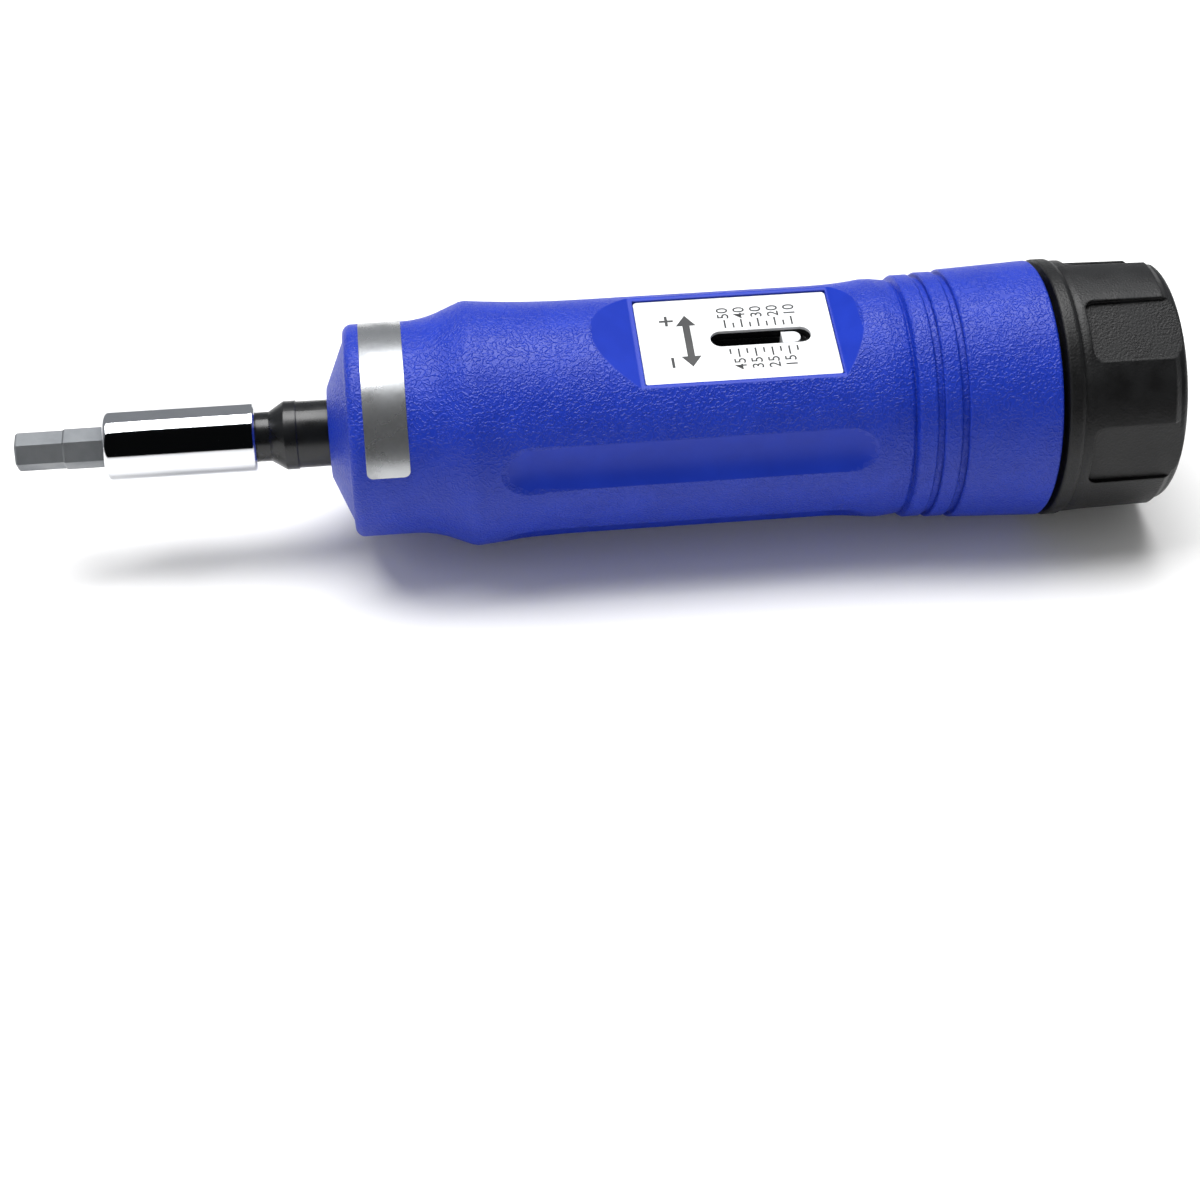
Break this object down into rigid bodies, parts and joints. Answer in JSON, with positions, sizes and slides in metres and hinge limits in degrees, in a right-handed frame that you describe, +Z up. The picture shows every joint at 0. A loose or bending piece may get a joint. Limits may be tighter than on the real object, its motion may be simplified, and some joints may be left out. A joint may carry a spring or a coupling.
{
  "type": "torque screwdriver",
  "caption": "Adjustable torque screwdriver: fluted blue handle with a scale window, locking black knob, cam clutch inside, chromed bit holder and hex bit.",
  "frame": {"origin": "on the floor, under the middle of the driver's length, with its axis level above it", "axes": "+X along the driver's axis towards the knob, +Z up, +Y to the far side from the viewer"},
  "size_m": [0.2072, 0.047, 0.047],
  "materials": {
    "blue_abs": "moulded ABS with a leather grain",
    "black_plastic": "moulded glass-filled nylon, fine grain",
    "chrome": "bright chrome plate",
    "black_steel": "black oxide on turned steel",
    "tool_steel": "satin hardened tool steel",
    "plain_steel": "ground and turned steel",
    "spring_steel": "oiled spring wire",
    "bronze": "sintered bronze",
    "white_plate": "white printed plate",
    "silver_foil": "silver polyester label",
    "magnet": "nickel-plated magnet",
    "rubber": "nitrile O-ring"
  },
  "bodies": {
    "handle": {"handle_shell": "blue_abs", "scale_plate": "white_plate", "serial_label": "silver_foil", "barrel_tube": "black_steel", "nose_bush": "bronze", "thrust_washer": "plain_steel", "anti_rotation_pin_front": "plain_steel", "anti_rotation_pin_rear": "plain_steel", "guide_key": "plain_steel", "main_spring": "spring_steel", "rear_washer": "plain_steel", "rear_bearing_plate": "plain_steel", "retaining_ring": "spring_steel", "lock_ring": "black_plastic"},
    "spindle": {"spindle": "black_steel", "bit_holder": "chrome", "hex_bit": "tool_steel", "holder_magnet": "magnet", "detent_spring": "spring_steel"},
    "detent": {"detent_ball": "plain_steel"},
    "clutch_plate": {"pressure_plate": "plain_steel", "clutch_roller_1": "plain_steel", "clutch_roller_2": "plain_steel", "clutch_roller_3": "plain_steel", "clutch_roller_4": "plain_steel", "clutch_roller_5": "plain_steel", "clutch_roller_6": "plain_steel", "clutch_roller_7": "plain_steel", "clutch_roller_8": "plain_steel", "spring_seat": "plain_steel"},
    "indicator": {"indicator_sleeve": "black_steel", "indicator_nut": "plain_steel"},
    "adjuster": {"adjusting_screw": "plain_steel", "end_washer": "plain_steel", "end_screw": "plain_steel"},
    "knob": {"knob": "black_plastic", "lock_o_ring": "rubber", "end_cap": "black_plastic"}
  },
  "joints": [
    {"name": "spindle_slip", "type": "hinge", "parent": "handle", "child": "spindle", "pos_m": [0, 0, 0.0235], "axis": [1, 0, 0], "continuous": true},
    {"name": "clutch_lift", "type": "slide", "parent": "handle", "child": "clutch_plate", "axis": [1, 0, 0], "range_m": [-0.0006, 0], "deforming": ["main_spring"]},
    {"name": "torque_set", "type": "hinge", "parent": "handle", "child": "adjuster", "pos_m": [0, 0, 0.0235], "axis": [-1, 0, 0], "range_deg": [-360, 2520]},
    {"name": "nut_travel", "type": "slide", "parent": "handle", "child": "indicator", "axis": [-1, 0, 0], "range_m": [-0.0015, 0.0105], "deforming": ["main_spring"]},
    {"name": "knob_pull", "type": "slide", "parent": "adjuster", "child": "knob", "axis": [1, 0, 0], "range_m": [-0.001, 0.003]},
    {"name": "detent_press", "type": "slide", "parent": "spindle", "child": "detent", "axis": [0, 0.1908, -0.9816], "range_m": [0, 0.0005], "stiffness_N_per_m": 800, "springref_m": -0.0005, "deforming": ["detent_spring"]}
  ],
  "couplings": [
    {"joint": "nut_travel", "follows": "torque_set", "m_per_rad": 0.00023873}
  ]
}
